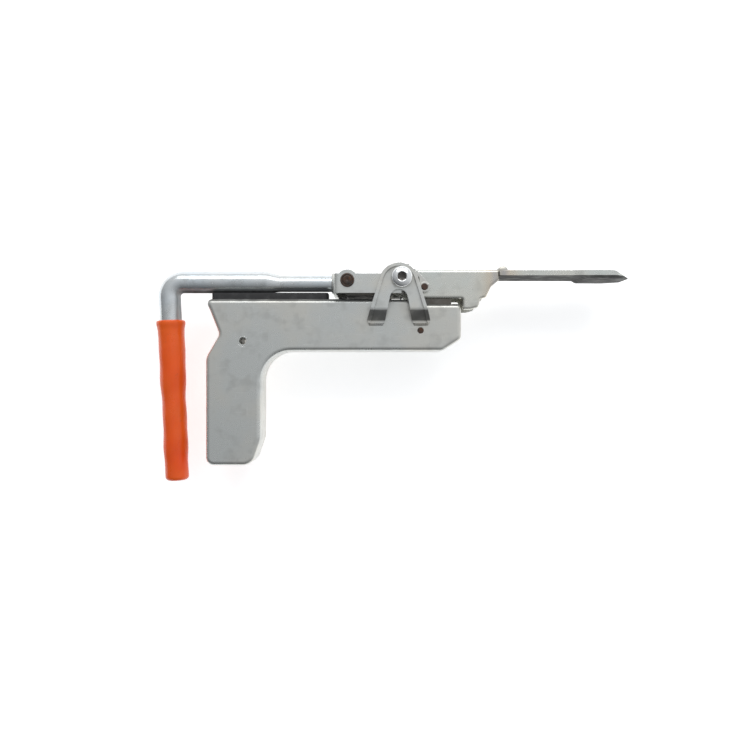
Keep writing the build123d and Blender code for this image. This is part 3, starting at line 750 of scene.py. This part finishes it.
clip_form = bmesh.new()
clip_outer = (clip_high.x - clip_low.x) / 2
section = [
    clip_form.verts.new((drive.x + radius, drive.y, height))
    for radius, height in (
        (pin_radius - 0.0003, clip_low.z),
        (clip_outer, clip_low.z),
        (clip_outer, clip_high.z),
        (pin_radius - 0.0003, clip_high.z),
    )
]
face = clip_form.faces.new(section)
bmesh.ops.spin(
    clip_form,
    geom=[face, *face.edges, *section],
    cent=(drive.x, drive.y, 0),
    axis=(0, 0, 1),
    angle=math.radians(300),
    steps=44,
)
plain_mesh(
    "drive_pin_spring_clip",
    clip_form,
    pin_oxide,
    "lever",
    "dark_pin",
    "drive_pin_clip",
    smooth=40,
)


# ---------------------------------------------------------------- springs
# Two torsion springs wound from round wire, one on each pawl pivot, with their ends drawn out
# straight to bear on the fork and on the nose.


def spring_wire():
    finish = Finish("spring_wire", Metallic=1.0)
    drawn = finish.cloud(900, 2, 0.5)
    colour = finish.blend(finish.band(drawn, 0.4, 0.7), (0.32, 0.31, 0.30), (0.20, 0.18, 0.16))
    return finish.give(Base_Color=colour, Roughness=0.30 + 0.15 * drawn)


wire_steel = spring_wire()


def torsion_spring(name, node, body, centre, start, end, wire, coil, turns, leg):
    """A coil about Z from start to end, wound by a spin that climbs, then a straight leg."""
    form = bmesh.new()
    ring = bmesh.ops.create_circle(form, segments=10, radius=wire, cap_ends=False)["verts"]
    stand = Matrix.Rotation(math.radians(90), 4, "X")
    place = Matrix.Translation((centre.x + coil, centre.y, start + wire))
    bmesh.ops.transform(form, matrix=place @ stand, verts=ring)
    first = list({edge for vert in ring for edge in vert.link_edges})
    steps = round(turns * 28)
    climb = (end - start - 2 * wire) / steps
    made = bmesh.ops.spin(
        form,
        geom=ring + first,
        cent=(centre.x, centre.y, 0),
        axis=(0, 0, 1),
        dvec=(0, 0, climb),
        angle=math.tau * turns,
        steps=steps,
        use_merge=False,
    )["geom_last"]
    bmesh.ops.contextual_create(form, geom=first)
    last = [part for part in made if isinstance(part, bmesh.types.BMEdge)]
    made = bmesh.ops.extrude_edge_only(form, edges=last)["geom"]
    verts = [part for part in made if isinstance(part, bmesh.types.BMVert)]
    bmesh.ops.translate(form, vec=leg, verts=verts)
    loop = [part for part in made if isinstance(part, bmesh.types.BMEdge)]
    bmesh.ops.contextual_create(form, geom=loop)
    return plain_mesh(name, form, wire_steel, body, "spring_steel", node)


drive_low, drive_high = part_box("drive_pawl_spring")
hold_low, hold_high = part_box("holding_pawl_spring")
wire_radius = 0.0007
leg_length = 0.0105
torsion_spring(
    "drive_spring_coil",
    "drive_pawl_spring",
    "lever",
    drive,
    start=drive_low.z,
    end=drive_high.z,
    wire=wire_radius,
    coil=0.0052,
    turns=12.25,
    leg=(-leg_length, 0, 0),
)
torsion_spring(
    "holding_spring_coil",
    "holding_pawl_spring",
    "frame",
    hold,
    start=hold_low.z,
    end=hold_high.z,
    wire=wire_radius,
    coil=0.0042,
    turns=4.0,
    leg=(0, leg_length, 0),
)


# ---------------------------------------------------------------- lever fork and its weld
# The fork is a strip bent into a U round the pawl and plated like the brackets. A bead of weld
# all the way round holds it to the end of the bar.

dress(["lever_yoke"], small_zinc)

yoke_low, yoke_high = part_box("yoke_weld")
ring_form = bmesh.new()
weld_middle = (yoke_low + yoke_high) / 2
ring_radius = (yoke_high.y - yoke_low.y) / 2 - 0.0011
section = bmesh.ops.create_circle(ring_form, segments=12, radius=0.0013, cap_ends=False)["verts"]
bmesh.ops.translate(
    ring_form, vec=(yoke_high.x - 0.0008, weld_middle.y + ring_radius, 0), verts=section
)
bmesh.ops.spin(
    ring_form,
    geom=section + list({edge for vert in section for edge in vert.link_edges}),
    cent=weld_middle,
    axis=(1, 0, 0),
    angle=math.tau,
    steps=144,
    use_merge=True,
)
for vert in ring_form.verts:
    out = vert.co - weld_middle
    angle = math.atan2(out.z, out.y)
    ripple = 1 + 0.03 * (angle * 28 / math.tau % 1)
    vert.co = weld_middle + Vector((out.x, out.y * ripple, out.z * ripple))
plain_mesh("yoke_weld_bead", ring_form, weld_zinc, "lever", "weld", "yoke_weld")


# ---------------------------------------------------------------- lever bar
# A round bar bent down at its end for the hand, drawn thinner towards the fork. It is plated,
# with long draw lines and a few knocks.

bar_low, bar_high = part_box("lever_bar")
bar_radius = bar_high.z


def painted_shade_under_bar(finish):
    """Painted shade on the underside of the bar's straight run, the side that closes on the frame.
    """
    along, up, _ = finish.axes()
    straight = finish.band(along, bar_low.x + 1.4 * bar_radius, bar_low.x + 2.6 * bar_radius)
    side_y, under_y = bar_high.y - 1.55 * bar_radius, bar_high.y - 1.95 * bar_radius
    return straight * finish.band(up, side_y, under_y)


bar_zinc = zinc_plate(
    "bar_zinc",
    tone=(0.72, 0.745, 0.75),
    warm=(0.97, 0.965, 0.96),
    cool=(0.86, 0.92, 0.97),
    roughness=0.30,
    grain=(0.15, 3.0, 3.0),
    # Painted shade along the bar's underside.
    painted_shade=painted_shade_under_bar,
)
dress(["lever_bar"], bar_zinc)


# ---------------------------------------------------------------- vinyl grip
# A soft orange vinyl sleeve pushed over the bar, glossy, with a rolled mouth, a closed round
# end, and the slack waves of a dipped sleeve that is a little too long.


def orange_vinyl(low, high):
    finish = Finish("orange_vinyl", Metallic=0.0, Coat_Roughness=0.12, Specular_IOR_Level=0.3)
    up = finish.axes()[1]
    wide = finish.cloud(26, 3, 0.5)
    smear = finish.cloud(90, 4, 0.6, stretch=(1, 0.35, 1))
    skin = finish.cloud(1500, 2, 0.5)
    dirt = finish.cloud(190, 4, 0.65, shift=(0.5, 0.1, 0.7))
    height = finish.band(up, low, high)
    colour = finish.blend(height, (0.84, 0.072, 0.003), (0.88, 0.105, 0.006))
    colour = finish.blend(finish.band(wide, 0.35, 0.7) * 0.45, colour, (0.92, 0.160, 0.012))
    colour = finish.blend(finish.band(dirt, 0.60, 0.78) * 0.35, colour, (0.20, 0.06, 0.025))
    dull = 0.34 + 0.16 * (smear - 0.5) + 0.08 * (skin - 0.5)
    return finish.give(
        Base_Color=colour,
        Roughness=finish.band(dull, 0.15, 0.7, 0.15, 0.7),
        Coat_Weight=finish.band(smear, 0.3, 0.75, 0.45, 0.12),
        Normal=finish.relief(0.25 * skin + 0.9 * smear, 0.00012),
    )


grip_low, grip_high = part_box("lever_grip")
lean = math.radians(2.4)
leg_down = Vector((math.sin(lean), -math.cos(lean), 0))
leg_top = Vector((-0.2130, 0, 0))
leg_mouth = -grip_high.y / math.cos(lean) + 0.0003
leg_tip = -grip_low.y / math.cos(lean) - 0.0003
sleeve_radius = 0.0121
sleeve_taper = 0.0015
collar_radius = 0.0131

sleeve = bmesh.new()
rows = 150
profile = [(bar_radius + 0.0001, leg_mouth + 0.0040), (bar_radius + 0.0001, leg_mouth + 0.0006)]
profile += [(bar_radius + 0.0007, leg_mouth), (collar_radius - 0.0010, leg_mouth)]
profile += [(collar_radius - 0.0002, leg_mouth + 0.0006), (collar_radius, leg_mouth + 0.0018)]
profile += [(collar_radius, leg_mouth + 0.0036), (collar_radius - 0.0004, leg_mouth + 0.0050)]
profile += [(sleeve_radius + 0.0002, leg_mouth + 0.0072)]
body_start = leg_mouth + 0.0085
end_round = 0.0036
body_end = leg_tip - end_round
for row in range(rows + 1):
    down = body_start + (body_end - body_start) * row / rows
    profile.append((sleeve_radius - sleeve_taper * row / rows, down))
end_radius = sleeve_radius - sleeve_taper
for step in range(1, 9):
    turn = math.radians(90 * step / 8)
    profile.append(
        (end_radius - end_round * (1 - math.cos(turn)), body_end + end_round * math.sin(turn))
    )
profile.append((centre_hole, leg_tip))
ring_spin(sleeve, profile, leg_top, leg_down, 64)
across = Vector((math.cos(lean), math.sin(lean), 0))
for vert in sleeve.verts:
    down = (vert.co - leg_top).dot(leg_down)
    axis_point = leg_top + leg_down * down
    out = vert.co - axis_point
    radius = out.length
    if radius < bar_radius + 0.0002 or down < body_start:
        continue
    angle = math.atan2(out.z, out.dot(across))
    part = (down - body_start) / (body_end - body_start)
    if part > 1:
        continue
    fade = max(0.0, min(1.0, 6 * part, 6 * (1 - part)))
    slack = 0.00034 * math.sin(down * 95 + 0.8 * math.sin(angle + 1.0))
    slack += 0.00026 * math.sin(down * 210 + 1.7 + 1.3 * math.sin(angle * 2))
    slack += 0.00028 * math.cos(2 * angle - down * 22)
    wrinkle = 0.00016 * math.sin(down * 820 + 2.2 * math.sin(angle + 0.4))
    wrinkle *= max(0.0, math.sin(down * 31 + 0.6)) ** 3
    swell = max(fade * (slack + wrinkle), bar_radius + 0.0003 - radius)
    vert.co = axis_point + out * (1 + swell / radius)
plain_mesh(
    "grip_sleeve",
    sleeve,
    orange_vinyl(grip_low.y, grip_high.y),
    "lever",
    "orange_vinyl",
    "lever_grip",
    smooth=50,
)


# ---------------------------------------------------------------- lever rest
# A strip of black rubber lies along the top of the frame, and the closed lever comes down on
# it. It is cut from sheet, with its corners and upper edges eased.


def black_rubber():
    finish = Finish("black_rubber", Metallic=0.0)
    bloom = finish.cloud(140, 4, 0.6)
    skin = finish.cloud(1100, 3, 0.6)
    grey = finish.band(bloom, 0.45, 0.75) * 0.5
    colour = finish.blend(grey, (0.018, 0.018, 0.019), (0.07, 0.07, 0.072))
    return finish.give(
        Base_Color=colour,
        Roughness=0.62 + 0.25 * (bloom - 0.5),
        Normal=finish.relief(skin, 0.00006),
    )


# Painted shadow as well as a rest: the strip's near-black fills the gap under the bar's straight
# run.
rest_low, rest_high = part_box("lever_rest")
rest = bmesh.new()
bmesh.ops.create_cube(rest, size=1.0)
bmesh.ops.scale(rest, vec=rest_high - rest_low, verts=rest.verts)
bmesh.ops.translate(rest, vec=(rest_low + rest_high) / 2, verts=rest.verts)
upright = [edge for edge in rest.edges if abs(edge.verts[0].co.y - edge.verts[1].co.y) > 0.001]
bmesh.ops.bevel(
    rest, geom=upright, offset=0.003, segments=6, affect="EDGES", profile=0.5, material=-1
)
bmesh.ops.recalc_face_normals(rest, faces=rest.faces)
top = [face for face in rest.faces if face.normal.y > 0.9]
bmesh.ops.bevel(
    rest,
    geom=list({edge for face in top for edge in face.edges}),
    offset=0.0007,
    segments=3,
    affect="EDGES",
    profile=0.5,
    material=-1,
)
plain_mesh(
    "lever_rest_block", rest, black_rubber(), "frame", "black_rubber", "lever_rest", smooth=45
)


# ---------------------------------------------------------------- studio
# The tool lies on its side on a pale bench. A broad soft light stands beyond its top edge, and
# the room is bright on that side and dim on the other.

floor_form = bmesh.new()
bmesh.ops.create_grid(floor_form, x_segments=1, y_segments=1, size=6.0)
bmesh.ops.translate(floor_form, vec=(0, 0, cad_low.z - 0.0002), verts=floor_form.verts)
floor_mesh = bpy.data.meshes.new("bench")
floor_form.to_mesh(floor_mesh)
floor_form.free()
bench = bpy.data.objects.new("bench", floor_mesh)
bpy.context.scene.collection.objects.link(bench)
bench_paint = bpy.data.materials.new("bench_paint")
bench_paint.use_nodes = True
paint = bench_paint.node_tree.nodes["Principled BSDF"].inputs
paint["Base Color"].default_value = (0.92, 0.92, 0.92, 1)
paint["Roughness"].default_value = 0.9
paint["Emission Color"].default_value = (1, 1, 1, 1)
paint["Emission Strength"].default_value = 0.55
floor_mesh.materials.append(bench_paint)

softbox = bpy.data.lights.new("top_softbox", "AREA")
softbox.shape = "RECTANGLE"
softbox.size, softbox.size_y = 1.8, 0.8
softbox.energy = 11
softbox_place, softbox_aim = Vector((0.10, 1.20, 1.05)), Vector((-0.02, -0.05, 0))
softbox_stand = bpy.data.objects.new("top_softbox", softbox)
softbox_stand.location = softbox_place
softbox_stand.rotation_euler = (softbox_aim - softbox_place).to_track_quat("-Z", "Y").to_euler()
bpy.context.scene.collection.objects.link(softbox_stand)

world = bpy.data.worlds.new("room")
world.use_nodes = True
room = world.node_tree
toward = room.nodes.new("ShaderNodeVectorMath")
toward.operation = "DOT_PRODUCT"
toward.inputs[1].default_value = (0.45, 0.80, 0.25)
sky = room.nodes.new("ShaderNodeTexCoord")
room.links.new(sky.outputs["Generated"], toward.inputs[0])
glow = room.nodes.new("ShaderNodeValToRGB")
glow.color_ramp.elements[0].position = 0.0
glow.color_ramp.elements[0].color = (0.16, 0.165, 0.17, 1)
glow.color_ramp.elements[1].position = 0.75
glow.color_ramp.elements[1].color = (0.95, 0.97, 1.0, 1)
shift = room.nodes.new("ShaderNodeMapRange")
shift.inputs["From Min"].default_value = -0.7
shift.inputs["From Max"].default_value = 1.0
room.links.new(toward.outputs["Value"], shift.inputs["Value"])
room.links.new(shift.outputs["Result"], glow.inputs["Fac"])
room.links.new(glow.outputs["Color"], room.nodes["Background"].inputs["Color"])
room.nodes["Background"].inputs["Strength"].default_value = 0.80
bpy.context.scene.world = world
bpy.context.scene.view_settings.view_transform = "Standard"

camera = bpy.data.cameras.new("camera")
camera.lens = 36.5
camera.sensor_width = 36.0
camera_stand = bpy.data.objects.new("camera", camera)
camera_stand.location = (-0.0235, -0.0860, 0.700)
bpy.context.scene.collection.objects.link(camera_stand)
bpy.context.scene.camera = camera_stand
